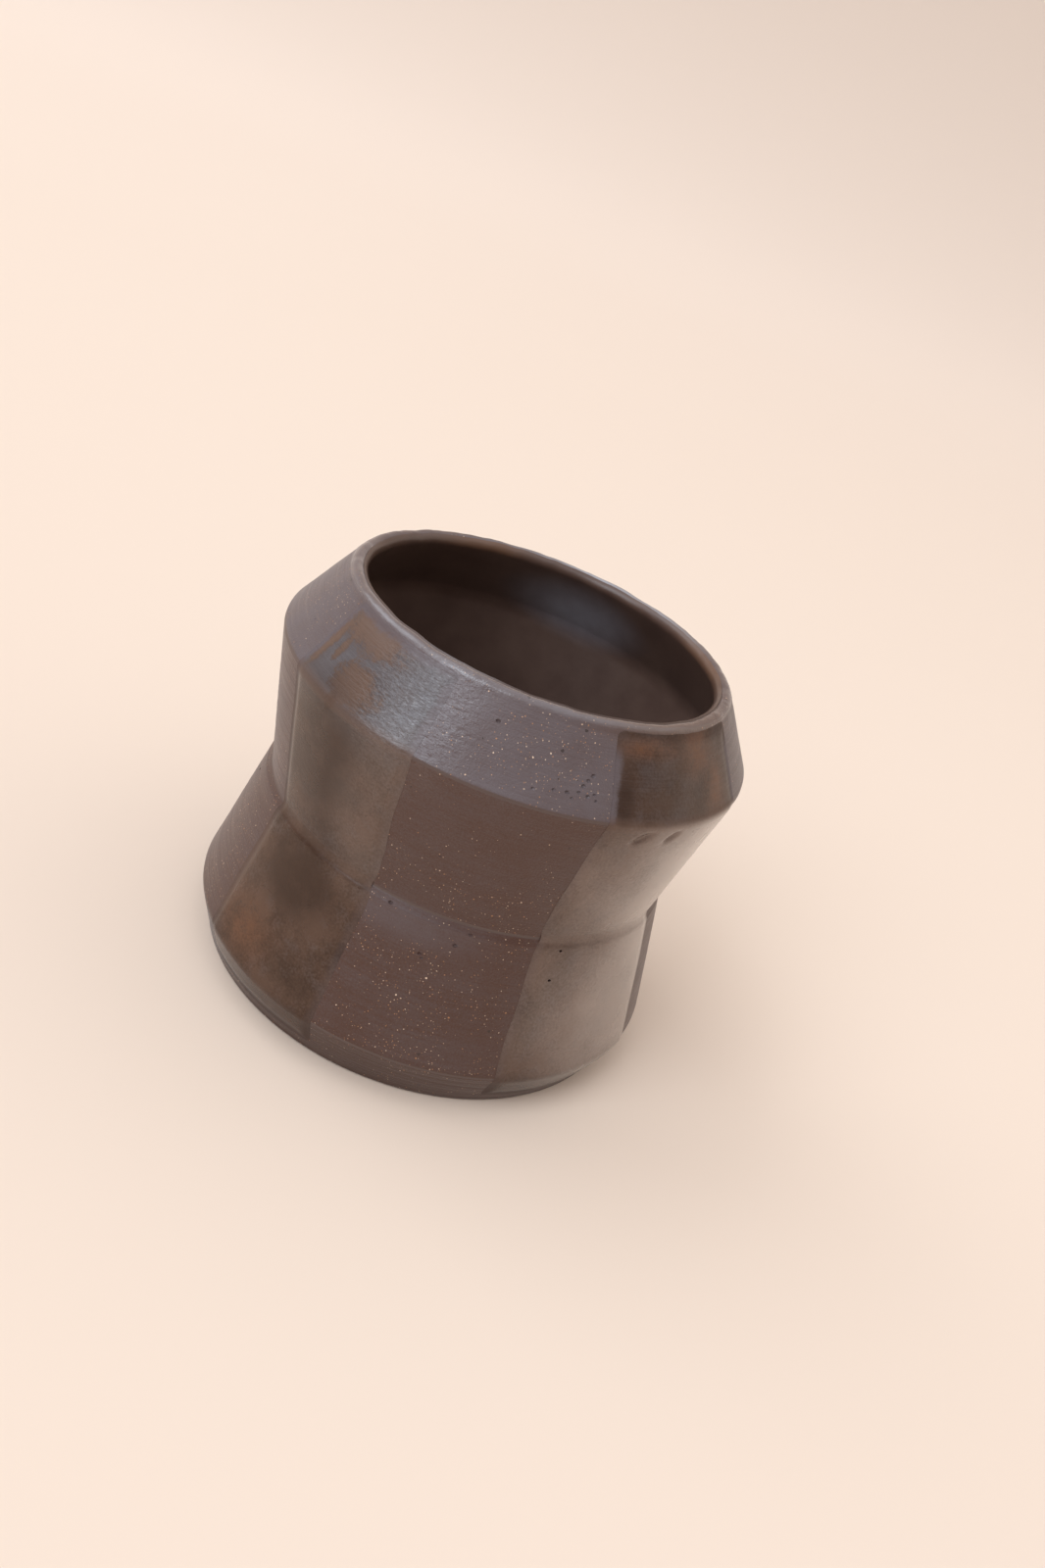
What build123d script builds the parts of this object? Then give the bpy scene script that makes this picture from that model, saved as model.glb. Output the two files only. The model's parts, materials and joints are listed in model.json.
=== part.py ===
"""Handleless stoneware cup with a flared foot, a drawn-in waist and a shoulder that closes in to the mouth.

The cup is built as a potter builds one from slabs: a floor disc and three conical bands, luted together
with slip at the creases of the profile. A liner glaze coats the inside, and upright panels of glaze
alternate with bare clay round the outside. Sizes are in millimetres and degrees. The origin is the middle
of the foot, where the cup stands, and +Z is up. Azimuths are counted from the front of the cup, which
faces -Y, towards its right side, which faces +X.
"""

from build123d import *

import os

# Clay body: radii and heights of the creases of the outside
FOOT_RADIUS = 41.2
KNUCKLE_RADIUS = 44.4
KNUCKLE_HEIGHT = 8.1
WAIST_RADIUS = 38.0
WAIST_HEIGHT = 34.4
RIDGE_RADIUS = 43.0
RIDGE_HEIGHT = 61.1
LIP_RADIUS = 32.9
LIP_HEIGHT = 74.0

# Clay body: thicknesses
WALL = 3.8
FLOOR = 5.0
LIP_THICKNESS = 2.9

# Softened edges of the clay body
FOOT_EDGE = 0.8
KNUCKLE_EDGE = 2.0
WAIST_CREASE = 1.6
RIDGE_EDGE = 1.6
INSIDE_EDGE = 5.0
LIP_EDGE = 0.48 * LIP_THICKNESS

# Slip in the luted joints
SLIP = 0.5

# Glaze: its thickness, the height where the panels stop above the bare foot,
# and how far they stop below the lip
GLAZE = 0.3
GLAZE_LINE_HEIGHT = 2.4
BARE_LIP = 0.6

# Azimuths where each panel of glaze starts and ends
PANELS = {
    "glaze_panel_front_left": (-53, -15),
    "glaze_panel_front_right": (28, 72),
    "glaze_panel_back_right": (118, 164),
    "glaze_panel_back_left": (212, 258),
}

# How far a cutting shape reaches past the clay that it cuts
REACH = 10.0


def parallel_corner(before, corner, after, distance):
    """The corner of a line that runs `distance` to the left of the line before-corner-after."""
    arriving = (corner - before).normalized()
    leaving = (after - corner).normalized()
    left_of_arriving = Vector(-arriving.Y, arriving.X)
    left_of_leaving = Vector(-leaving.Y, leaving.X)
    bisector = (left_of_arriving + left_of_leaving).normalized()
    return corner + bisector * (distance / bisector.dot(left_of_leaving))


def at_height(low, high, height):
    """The point of the line low-high at a height."""
    share = (height - low.Y) / (high.Y - low.Y)
    return low + (high - low) * share


# Outside of the clay as points of radius and height, from the foot to the lip
FOOT = Vector(FOOT_RADIUS, 0)
KNUCKLE = Vector(KNUCKLE_RADIUS, KNUCKLE_HEIGHT)
WAIST = Vector(WAIST_RADIUS, WAIST_HEIGHT)
RIDGE = Vector(RIDGE_RADIUS, RIDGE_HEIGHT)

# The top edge of the shoulder is cut square to its slope, and the lip is rounded from that
LIP = Vector(LIP_RADIUS, LIP_HEIGHT)
SHOULDER_SLOPE = (LIP - RIDGE).normalized()
ACROSS_LIP = Vector(SHOULDER_SLOPE.Y, -SHOULDER_SLOPE.X) * (LIP_THICKNESS / 2)
LIP_OUTSIDE = LIP + ACROSS_LIP
LIP_INSIDE = LIP - ACROSS_LIP

# Inside of the clay: one wall away from the outside at the waist, the ridge and the bevel,
# and straight between them
INNER_WAIST = parallel_corner(KNUCKLE, WAIST, RIDGE, WALL)
INNER_RIDGE = parallel_corner(WAIST, RIDGE, LIP_OUTSIDE, WALL)
INNER_KNUCKLE = parallel_corner(FOOT, KNUCKLE, WAIST, WALL)
INNER_BEVEL = INNER_KNUCKLE + FOOT - KNUCKLE
INNER_CORNER = at_height(INNER_BEVEL, INNER_KNUCKLE, FLOOR)

# Where the level joint under the lower wall meets the inside
WALL_FOOT = at_height(INNER_CORNER, INNER_WAIST, KNUCKLE_HEIGHT)


def clay_section():
    """Half section of all the clay, from the axis outwards, with its edges softened."""
    outline = Polyline(
        (0, 0),
        FOOT,
        KNUCKLE,
        WAIST,
        RIDGE,
        LIP_OUTSIDE,
        LIP_INSIDE,
        INNER_RIDGE,
        INNER_WAIST,
        INNER_CORNER,
        (0, FLOOR),
        close=True,
    )
    section = make_face(outline)
    softened = (
        (FOOT, FOOT_EDGE),
        (KNUCKLE, KNUCKLE_EDGE),
        (WAIST, WAIST_CREASE),
        (RIDGE, RIDGE_EDGE),
        (LIP_OUTSIDE, LIP_EDGE),
        (LIP_INSIDE, LIP_EDGE),
        (INNER_RIDGE, INSIDE_EDGE),
        (INNER_WAIST, INSIDE_EDGE),
        (INNER_CORNER, INSIDE_EDGE),
    )
    for corner, radius in softened:
        section = fillet(section.vertices().sort_by_distance(corner)[0], radius)
    return section


def joint_band(outer, inner):
    """A strip one slip joint thick, from crease to crease through the wall and past both faces."""
    through = (inner - outer).normalized()
    half_slip = Vector(-through.Y, through.X) * (SLIP / 2)
    start = outer - through * REACH
    end = inner + through * (INSIDE_EDGE + GLAZE)
    return make_face(
        Polyline(start - half_slip, end - half_slip, end + half_slip, start + half_slip, close=True)
    )


def inside_of_wall():
    """Everything within the middle of the wall: it parts the inside coat from the outside one."""
    above_lip = LIP + Vector(0, REACH)
    outline = Polyline(
        (0, FLOOR / 2),
        (INNER_CORNER + FOOT) * 0.5,
        (WALL_FOOT + KNUCKLE) * 0.5,
        (INNER_WAIST + WAIST) * 0.5,
        (INNER_RIDGE + RIDGE) * 0.5,
        LIP,
        above_lip,
        (0, above_lip.Y),
        close=True,
    )
    return make_face(outline)


def glaze_sections(clay):
    """Half sections of the liner glaze, up to the crest of the lip, and of the panels on the outside."""
    whole = clay + mirror(clay, about=Plane.YZ)
    coat = offset(whole, GLAZE) - whole
    liner_side = inside_of_wall()
    liner = coat & liner_side
    panel_height = LIP_HEIGHT - BARE_LIP - GLAZE_LINE_HEIGHT
    panel_reach = Pos(0, GLAZE_LINE_HEIGHT) * Rectangle(
        KNUCKLE_RADIUS + RIDGE_RADIUS, panel_height, align=(Align.MIN, Align.MIN)
    )
    return liner, (coat - liner_side) & panel_reach


def turned(section, start=0, end=360):
    """The solid that a half section sweeps round the axis between two azimuths."""
    sweep = revolve(Plane.XZ * section, axis=Axis.Z, revolution_arc=end - start)
    return Rot(0, 0, start - 90) * sweep


def build():
    """Every piece of the cup by its name."""
    clay = clay_section()
    joints = {
        "floor_luting": joint_band(KNUCKLE, WALL_FOOT) & clay,
        "waist_luting": joint_band(WAIST, INNER_WAIST) & clay,
        "shoulder_luting": joint_band(RIDGE, INNER_RIDGE) & clay,
    }
    clay_pieces = clay
    for joint in joints.values():
        clay_pieces = clay_pieces - joint
    names = ("floor_disc", "lower_wall", "upper_wall", "shoulder_collar")
    sections = dict(zip(names, clay_pieces.faces().sort_by(Axis.Y)))
    sections.update(joints)
    sections["liner_glaze"], panel = glaze_sections(clay)
    pieces = {name: turned(section) for name, section in sections.items()}
    for name, (start, end) in PANELS.items():
        pieces[name] = turned(panel, start, end)
    return pieces


os.makedirs("parts", exist_ok=True)
for name, solid in build().items():
    export_step(solid, f"parts/{name}.step")
    print(f"{name}: {solid.volume / 1000:.2f} ml of material")
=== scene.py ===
# %% [markdown]
# # A handleless stoneware cup with panels of glaze
#
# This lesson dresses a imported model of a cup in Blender. The real cup is dark, speckled stoneware. The
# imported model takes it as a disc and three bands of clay, luted together and turned true: a bevel above
# the foot, a lower wall that draws in to a waist, an upper wall that opens out to a ridge, and a shoulder
# that closes in to a rounded lip. Upright panels of satin glaze alternate with bare clay round the
# outside.
#
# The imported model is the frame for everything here. It is loaded first, and it is never moved or changed.

import json
import math
import random

import bmesh
import bpy
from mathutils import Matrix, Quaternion, Vector

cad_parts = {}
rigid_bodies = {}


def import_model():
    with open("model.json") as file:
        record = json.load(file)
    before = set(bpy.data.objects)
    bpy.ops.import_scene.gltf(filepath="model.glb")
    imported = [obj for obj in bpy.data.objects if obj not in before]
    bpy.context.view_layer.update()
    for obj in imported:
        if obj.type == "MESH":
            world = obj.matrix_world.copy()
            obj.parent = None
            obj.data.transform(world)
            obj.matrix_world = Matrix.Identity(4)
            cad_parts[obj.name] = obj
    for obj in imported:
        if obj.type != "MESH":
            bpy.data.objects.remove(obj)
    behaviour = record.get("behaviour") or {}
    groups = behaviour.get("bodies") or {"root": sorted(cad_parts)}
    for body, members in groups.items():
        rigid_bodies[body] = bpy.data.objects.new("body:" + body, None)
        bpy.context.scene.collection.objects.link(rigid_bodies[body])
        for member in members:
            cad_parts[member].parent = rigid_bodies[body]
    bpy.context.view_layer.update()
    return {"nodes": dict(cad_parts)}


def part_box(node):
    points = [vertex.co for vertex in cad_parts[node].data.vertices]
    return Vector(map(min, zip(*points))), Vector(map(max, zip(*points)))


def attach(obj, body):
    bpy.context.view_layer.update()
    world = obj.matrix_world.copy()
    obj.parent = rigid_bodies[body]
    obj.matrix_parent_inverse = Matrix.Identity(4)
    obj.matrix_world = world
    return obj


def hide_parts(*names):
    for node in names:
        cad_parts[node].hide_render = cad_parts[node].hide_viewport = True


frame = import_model()
print("CAD nodes:", ", ".join(sorted(frame["nodes"])))

# %% [markdown]
# ## The profile
#
# Every round piece of this cup follows one profile. It could be drawn afresh for each piece, but then the
# pieces would drift apart, so its corners are written down once: a radius, a height, and how far the edge
# there is softened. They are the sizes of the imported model, written in millimetres and kept in metres. The
# one addition is a small roll that softens the top of the lower wall, just under the waist.

# %% Corners of the profile
MM = 0.001


class Corner:
    """A corner of the half section: its distance from the axis, its height, and how far it is rounded."""

    def __init__(self, radius, height, soft=0.0):
        self.place = Vector((radius, 0.0, height)) * MM
        self.soft = soft * MM


FOOT_MIDDLE = Corner(0.0, 0.0)
FOOT = Corner(41.2, 0.0, 0.8)
KNUCKLE = Corner(44.4, 8.1, 2.0)
WAIST_ROLL = Corner(38.72, 33.0, 1.4)
WAIST = Corner(38.0, 34.4, 0.7)
RIDGE = Corner(43.0, 61.1, 1.6)
LIP_OUTSIDE = Corner(34.04, 74.89, 1.39)
LIP_INSIDE = Corner(31.76, 73.11, 1.39)
INNER_RIDGE = Corner(38.99, 60.31, 5.0)
INNER_WAIST = Corner(34.11, 34.3, 5.0)
INNER_CORNER = Corner(39.09, 5.0, 5.0)
FLOOR_MIDDLE = Corner(0.0, 5.0)
packed_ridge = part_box("shoulder_luting")[1][0]
print("Ridge radius in the packed model:", packed_ridge, "and at the sharp corner:", RIDGE.place.x)

# %% [markdown]
# ## Selecting
#
# An operator acts on everything that is selected, so each step starts by selecting only what it is about. In
# edit mode the vertices are picked by their place, because their numbers change with every operator.

# %% Tools to select
def start_alone():
    """Leave edit mode and deselect everything, so that the next operator acts only on what it makes."""
    if bpy.context.object and bpy.context.object.mode != "OBJECT":
        bpy.ops.object.mode_set(mode="OBJECT")
    bpy.ops.object.select_all(action="DESELECT")


def select_only(obj):
    """Make one object the selected and active one, in object mode."""
    start_alone()
    obj.select_set(True)
    bpy.context.view_layer.objects.active = obj


def pick_vertices(obj, wanted):
    """In edit mode, select the vertices whose place is wanted, with the edges and faces between them."""
    bpy.ops.mesh.select_mode(type="VERT")
    bpy.ops.mesh.select_all(action="DESELECT")
    mesh = bmesh.from_edit_mesh(obj.data)
    for vertex in mesh.verts:
        vertex.select = wanted(vertex.co)
    mesh.select_flush(True)
    bmesh.update_edit_mesh(obj.data)


start_alone()
print("Selected objects:", len(bpy.context.selected_objects))

# %% [markdown]
# ## Drawing a half section
#
# A turned pot is easiest to make the way a potter sees it: draw half of its section, then spin that round
# the axis. A curve with a Screw modifier would do too, but a chain of edges can be rounded and divided just
# where the pot needs it. A single vertex is extruded from corner to corner, as one would click along a
# drawing. Then each corner is beveled as a vertex, which rounds it with an arc. A vertex bevel counts its
# offset along the edges, so the offset for an arc of a given radius is that radius times the tangent of half
# the turn. Long edges are subdivided last, so that the spun pot has rings that are close together and can
# carry the fine turning marks of the real one.

# %% Tools to draw a half section
ARC_SEGMENTS = 8
CORNER_REACH = 0.05 * MM
SAME_PLACE = 0.01 * MM


def arc_offset(before, corner, after):
    """How far from the corner, along its edges, an arc of the corner's softness starts."""
    turn = (corner.place - before.place).angle(after.place - corner.place)
    return corner.soft * math.tan(turn / 2)


def divide_long_edges(section, pitch_at):
    """Subdivide every edge that is longer than the pitch at its middle into equal steps."""
    mesh = bmesh.from_edit_mesh(section.data)
    chain = [(edge.verts[0].co.copy(), edge.verts[1].co.copy()) for edge in mesh.edges]
    for ends in chain:
        middle = (ends[0] + ends[1]) / 2
        cuts = int((ends[1] - ends[0]).length / pitch_at(middle))
        if cuts:
            pick_vertices(section, lambda place: min((place - end).length for end in ends) < SAME_PLACE)
            bpy.ops.mesh.subdivide(number_cuts=cuts)


def draw_section(name, corners, pitch_at):
    """A chain of edges through the corners, rounded there, with vertices as close as pitch_at asks."""
    start_alone()
    bpy.ops.mesh.primitive_plane_add(size=MM)
    section = bpy.context.object
    section.name = name
    section.data.name = name
    bpy.ops.object.mode_set(mode="EDIT")
    bpy.ops.mesh.select_mode(type="VERT")
    bpy.ops.mesh.merge(type="CENTER")
    bpy.ops.transform.translate(value=corners[0].place)
    for before, corner in zip(corners, corners[1:]):
        step = corner.place - before.place
        bpy.ops.mesh.extrude_region_move(TRANSFORM_OT_translate={"value": step})
    for before, corner, after in zip(corners, corners[1:], corners[2:]):
        if corner.soft:
            pick_vertices(section, lambda place: (place - corner.place).length < CORNER_REACH)
            offset = arc_offset(before, corner, after)
            bpy.ops.mesh.bevel(offset=offset, segments=ARC_SEGMENTS, affect="VERTICES")
    divide_long_edges(section, pitch_at)
    bpy.ops.object.mode_set(mode="OBJECT")
    return section


print("Section tools ready, with", ARC_SEGMENTS, "segments in each softened corner")

# %% [markdown]
# ## Turning marks
#
# The bare clay shows fine level lines, about half a millimetre apart, where a rib or a sponge ran over the
# turning pot. A bump in the finish could fake them, but then the mesh would be smooth, so they are made
# before the spin: each vertex of the outside is nudged inwards by a seeded random amount, and the spin turns
# every nudge into a ring. A nudge never points outwards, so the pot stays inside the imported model's box.

# %% The outside of the clay
HALF_WALL = 1.9 * MM
OUTSIDE = [FOOT, KNUCKLE, WAIST_ROLL, WAIST, RIDGE, LIP_OUTSIDE]


def outside_radius(height):
    """The radius of the sharp-cornered outside at a height."""
    for low, high in zip(OUTSIDE, OUTSIDE[1:]):
        if height <= high.place.z:
            break
    climb = (height - low.place.z) / (high.place.z - low.place.z)
    return low.place.x + (high.place.x - low.place.x) * climb


def on_outside(place):
    """Whether a place lies on the outer half of the wall, above the edge of the foot and below the lip."""
    clear_of_ends = FOOT.soft < place.z < LIP_INSIDE.place.z
    return clear_of_ends and math.hypot(place.x, place.y) > outside_radius(place.z) - HALF_WALL


print("Outside radius at half the height of the lip:", outside_radius(LIP_OUTSIDE.place.z / 2))

# %% Draw the section of the clay and groove its outside
FINE_PITCH = 0.42 * MM
COARSE_PITCH = 2.5 * MM
GROOVE_DEPTH = 0.05 * MM
GROOVE_STRETCH = 3.1 * MM
MEAN_ROUGHNESS = 0.65
ROUGHNESS_SWING = 0.35
CLAY_CORNERS = [
    FOOT_MIDDLE, FOOT, KNUCKLE, WAIST_ROLL, WAIST, RIDGE, LIP_OUTSIDE,
    LIP_INSIDE, INNER_RIDGE, INNER_WAIST, INNER_CORNER, FLOOR_MIDDLE,
]


def clay_pitch(place):
    """Rings lie close together on the outside, which has the turning marks, and far apart elsewhere."""
    return FINE_PITCH if on_outside(place) else COARSE_PITCH


def groove(section, seed, depth):
    """Nudge each vertex of the outside towards the axis by a seeded amount, rougher in some stretches."""
    chance = random.Random(seed)
    for vertex in sorted(section.data.vertices, key=lambda vertex: vertex.co.z):
        roughness = MEAN_ROUGHNESS + ROUGHNESS_SWING * math.sin(vertex.co.z / GROOVE_STRETCH)
        nudge = chance.random() * roughness * depth
        if on_outside(vertex.co):
            vertex.co.x -= nudge


clay = draw_section("turned_clay", CLAY_CORNERS, clay_pitch)
groove(clay, seed=7, depth=GROOVE_DEPTH)
print("Section of the clay:", len(clay.data.vertices), "vertices")

# %% [markdown]
# ## Spinning the pot
#
# Spin copies the section round the axis and joins the copies with faces. One spin could go all the way
# round, but it slows down as the mesh grows. So only an eighth of the circle is spun, and the rest is made
# by doubling: the eighth is copied and turned, then the quarter, then the half. That leaves doubled vertices
# at the seams and on the axis. They are merged, and then the normals are made to point out of the clay.

# %% Spin the clay
EIGHTH_STEPS = 60
MERGE_DISTANCE = 0.002 * MM


def spin_eighth_and_double(obj, steps):
    """Turn a half section into a closed round mesh whose faces point outwards."""
    select_only(obj)
    bpy.ops.object.mode_set(mode="EDIT")
    bpy.ops.mesh.select_all(action="SELECT")
    bpy.ops.mesh.spin(steps=steps, angle=math.tau / 8, center=(0, 0, 0), axis=(0, 0, 1))
    for part in (8, 4, 2):
        bpy.ops.mesh.select_all(action="SELECT")
        bpy.ops.mesh.duplicate()
        bpy.ops.transform.rotate(value=math.tau / part, orient_axis="Z", center_override=(0, 0, 0))
    bpy.ops.mesh.select_all(action="SELECT")
    bpy.ops.mesh.remove_doubles(threshold=MERGE_DISTANCE)
    bpy.ops.mesh.normals_make_consistent(inside=False)
    bpy.ops.object.mode_set(mode="OBJECT")


spin_eighth_and_double(clay, EIGHTH_STEPS)
print("Spun clay:", len(clay.data.polygons), "faces")

# %% [markdown]
# ## Out of round
#
# No pot that is made singly is a perfect body of revolution. Its walls could be sculpted, but a Displace
# modifier with a slow cloud texture bends them softly and the same way on each run. It moves the outside by
# a quarter of a millimetre at most, nearly always inwards, and a vertex group keeps it away from the inside
# and the foot. A second one, with quicker clouds, makes the lip uneven. It moves straight up or down, mostly
# down, so that both sides of a thin skin go alike. The same modifiers are used later on the glaze, so that
# the glaze follows the clay.

# %% Clouds that push a surface
CLOUD_MIDDLE = 0.75


def make_cloud(name, lump_size):
    """A cloud texture with lumps of about this size."""
    cloud = bpy.data.textures.new(name, "CLOUDS")
    cloud.noise_scale = lump_size
    return cloud


def apply_modifiers(obj):
    """Apply every modifier of an object, in order."""
    select_only(obj)
    for modifier in list(obj.modifiers):
        bpy.ops.object.modifier_apply(modifier=modifier.name)


def displace_by_cloud(obj, cloud, strength, group, way="NORMAL"):
    """Move the vertices of a group by a cloud, backwards wherever it is darker than its middle."""
    modifier = obj.modifiers.new(cloud.name, "DISPLACE")
    modifier.texture = cloud
    modifier.texture_coords = "LOCAL"
    modifier.direction = way
    modifier.strength = strength
    modifier.mid_level = CLOUD_MIDDLE
    modifier.vertex_group = group
    apply_modifiers(obj)


slow_cloud = make_cloud("slow_cloud", 24 * MM)
lip_cloud = make_cloud("lip_cloud", 6 * MM)
print("Clouds:", slow_cloud.name, "and", lip_cloud.name)

# %% Let the outside and the lip wobble
WOBBLE = 0.34 * MM
LIP_WOBBLE = 0.55 * MM
LIP_WOBBLE_START = 68 * MM
LIP_WOBBLE_FULL = 73 * MM


def wobble(obj):
    """Displace the outside of an object by the slow cloud, and count the vertices there."""
    chosen = [vertex.index for vertex in obj.data.vertices if on_outside(vertex.co)]
    obj.vertex_groups.new(name="outside").add(chosen, 1.0, "REPLACE")
    displace_by_cloud(obj, slow_cloud, WOBBLE, "outside")
    return len(chosen)


def wobble_lip(obj):
    """Move the top of an object up or down by the quick cloud, most of all at the lip."""
    group = obj.vertex_groups.new(name="lip")
    for vertex in obj.data.vertices:
        share = (vertex.co.z - LIP_WOBBLE_START) / (LIP_WOBBLE_FULL - LIP_WOBBLE_START)
        if share > 0:
            group.add([vertex.index], min(1.0, share), "REPLACE")
    displace_by_cloud(obj, lip_cloud, LIP_WOBBLE, "lip", way="Z")


print("Vertices that wobble:", wobble(clay))
wobble_lip(clay)

# %% [markdown]
# ## Dents and pits
#
# Places on the cup are given by an azimuth, counted in degrees from the front towards the right side, and a
# height. Two short oblique dents lie under the ridge on the right. They are soft, so the vertices round them
# are pushed in with a smooth falloff. The pits are sharp little holes where grit fell out or a bubble burst.
# A push would leave them too soft, so small rough lumps cut them out with a Boolean modifier.

# %% Places on the cup
FRONT = -math.pi / 2


def direction(azimuth):
    """The level direction out of the cup at an azimuth in degrees."""
    angle = math.radians(azimuth) + FRONT
    return Vector((math.cos(angle), math.sin(angle), 0.0))


def surface_point(azimuth, height):
    """The place on the sharp-cornered outside at an azimuth in degrees and a height in millimetres."""
    return direction(azimuth) * outside_radius(height * MM) + Vector((0, 0, height * MM))


print("The front faces", direction(0), "and the right side faces", direction(90))

# %% Dents
DENT_REACH = 5 * MM
DENTS = [
    # azimuth, height, half width, half height, depth, slant
    (38.4, 58.8, 1.35, 1.4, 0.55, 0.9),
    (47.0, 58.8, 1.00, 1.2, 0.50, 0.8),
]


def press_dents(obj):
    """Push in the outside at each dent, deepest in its middle."""
    for azimuth, height, half_width, half_height, depth, slant in DENTS:
        middle = surface_point(azimuth, height)
        inwards = -direction(azimuth)
        sideways = Vector((-inwards.y, inwards.x, 0.0))
        for vertex in obj.data.vertices:
            away = vertex.co - middle
            if away.length < DENT_REACH:
                up = away.z / MM
                across = away.dot(sideways) / MM + slant * up
                away_share = (across / half_width) ** 2 + (up / half_height) ** 2
                vertex.co += inwards * depth * MM * math.exp(-(away_share**2))


press_dents(clay)
print("Dents pressed:", len(DENTS))

# %% Pits
LUMP_FLATNESS = 0.72
LUMP_ROUGHNESS = 0.25
LUMP_SHAPES = 97
PITS = [
    # azimuth, height, radius across the pit
    (23.0, 66.9, 0.50), (22.0, 66.2, 0.42), (21.0, 65.4, 0.46), (20.2, 64.5, 0.36), (17.6, 64.2, 0.42),
    (18.9, 63.6, 0.30), (22.4, 64.2, 0.42), (23.9, 64.6, 0.34), (24.4, 63.8, 0.32), (14.6, 64.1, 0.36),
    (10.2, 63.5, 0.36), (-1.8, 70.0, 0.42), (19.4, 65.9, 0.26), (8.6, 30.6, 0.50), (11.2, 33.1, 0.42),
    (-9.6, 33.3, 0.45), (34.5, 27.2, 0.42), (35.4, 32.6, 0.42), (1.4, 27.4, 0.45), (2.2, 26.8, 0.34),
    (54.0, 23.4, 0.30), (-2.4, 46.1, 0.28), (95.0, 40.0, 0.40), (141.0, 18.5, 0.45), (183.0, 66.4, 0.40),
    (201.0, 26.0, 0.45), (236.0, 51.0, 0.35), (283.0, 30.0, 0.42), (-62.0, 66.0, 0.30),
]


def pit_lumps():
    """One object of small rough lumps, each of them half sunk into the surface where a pit goes."""
    start_alone()
    for azimuth, height, radius in PITS:
        place = surface_point(azimuth, height)
        shape = int(azimuth * 10) % LUMP_SHAPES
        bpy.ops.mesh.primitive_ico_sphere_add(subdivisions=2, radius=radius * MM, location=place)
        lump = bpy.context.object
        lump.scale = (1.0, 1.0, LUMP_FLATNESS)
        bpy.ops.object.mode_set(mode="EDIT")
        bpy.ops.transform.vertex_random(offset=LUMP_ROUGHNESS * radius * MM, seed=shape)
        bpy.ops.object.mode_set(mode="OBJECT")
        bpy.ops.object.transform_apply(location=True, rotation=True, scale=True)
        lump.name = "pit_lump"
    bpy.ops.object.select_all(action="DESELECT")
    for obj in bpy.data.objects:
        obj.select_set(obj.name.startswith("pit_lump"))
    bpy.ops.object.join()
    return bpy.context.object


def cut_pits(obj, lumps):
    """Cut the lumps out of an object."""
    modifier = obj.modifiers.new("pits", "BOOLEAN")
    modifier.operation = "DIFFERENCE"
    modifier.object = lumps
    apply_modifiers(obj)


lumps = pit_lumps()
cut_pits(clay, lumps)
print("Pits cut:", len(PITS), "- faces now:", len(clay.data.polygons))

# %% [markdown]
# ## Four pieces of clay and the slip between them
#
# The cup is built from a floor disc and three bands that are luted together with slip at the creases. Each
# could be spun by itself, but then its turning marks and pits would have to be matched to its neighbours'.
# So the whole pot is copied once for each piece, and each copy is bisected at the joints above and below
# it. Bisect leaves two open rings at a cut, one on the outside and one on the inside of the wall, and
# bridging them closes the piece with a flat joint face. The slip was wiped flush and turned with the rest,
# so its rings are cut from the same pot.

# %% Tools to cut the pot
CUT_MERGE = 0.003 * MM


def cut_level(obj, height, keep_above):
    """Cut an object at a height, keep one side and close the wall there."""
    bpy.ops.mesh.select_all(action="SELECT")
    bpy.ops.mesh.bisect(
        plane_co=(0, 0, height),
        plane_no=(0, 0, 1),
        clear_inner=keep_above,
        clear_outer=not keep_above,
        threshold=CUT_MERGE,
    )
    bpy.ops.mesh.select_mode(type="EDGE")
    bpy.ops.mesh.select_all(action="DESELECT")
    mesh = bmesh.from_edit_mesh(obj.data)
    for edge in mesh.edges:
        if edge.is_boundary and all(abs(vertex.co.z - height) < SAME_PLACE for vertex in edge.verts):
            edge.select_set(True)
    bmesh.update_edit_mesh(obj.data)
    bpy.ops.mesh.bridge_edge_loops()


def copy_object(obj, name):
    """A copy of an object with its own mesh, selected alone."""
    select_only(obj)
    bpy.ops.object.duplicate()
    copy = bpy.context.object
    copy.name = name
    copy.data.name = name
    return copy


print("The pot is cut to within", CUT_MERGE / MM, "mm")

# %% Cut the pot into its pieces
HALF_SLIP = 0.25 * MM
SMOOTH_ANGLE = math.radians(40)
CUTS = {
    "floor_disc": (None, KNUCKLE.place.z - HALF_SLIP),
    "floor_luting": (KNUCKLE.place.z - HALF_SLIP, KNUCKLE.place.z + HALF_SLIP),
    "lower_wall": (KNUCKLE.place.z + HALF_SLIP, WAIST.place.z - HALF_SLIP),
    "waist_luting": (WAIST.place.z - HALF_SLIP, WAIST.place.z + HALF_SLIP),
    "upper_wall": (WAIST.place.z + HALF_SLIP, RIDGE.place.z - HALF_SLIP),
    "shoulder_luting": (RIDGE.place.z - HALF_SLIP, RIDGE.place.z + HALF_SLIP),
    "shoulder_collar": (RIDGE.place.z + HALF_SLIP, None),
}

clay_pieces = []
slip_pieces = []
for node, (bottom, top) in CUTS.items():
    piece = copy_object(clay, "fired_" + node)
    bpy.ops.object.mode_set(mode="EDIT")
    if bottom:
        cut_level(piece, bottom, keep_above=True)
    if top:
        cut_level(piece, top, keep_above=False)
    bpy.ops.object.mode_set(mode="OBJECT")
    bpy.ops.object.shade_smooth_by_angle(angle=SMOOTH_ANGLE)
    is_slip = node.endswith("luting")
    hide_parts(node)
    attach(piece, "root")
    (slip_pieces if is_slip else clay_pieces).append(piece)
    print(piece.name, len(piece.data.polygons), "faces")
bpy.data.objects.remove(clay)

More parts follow.
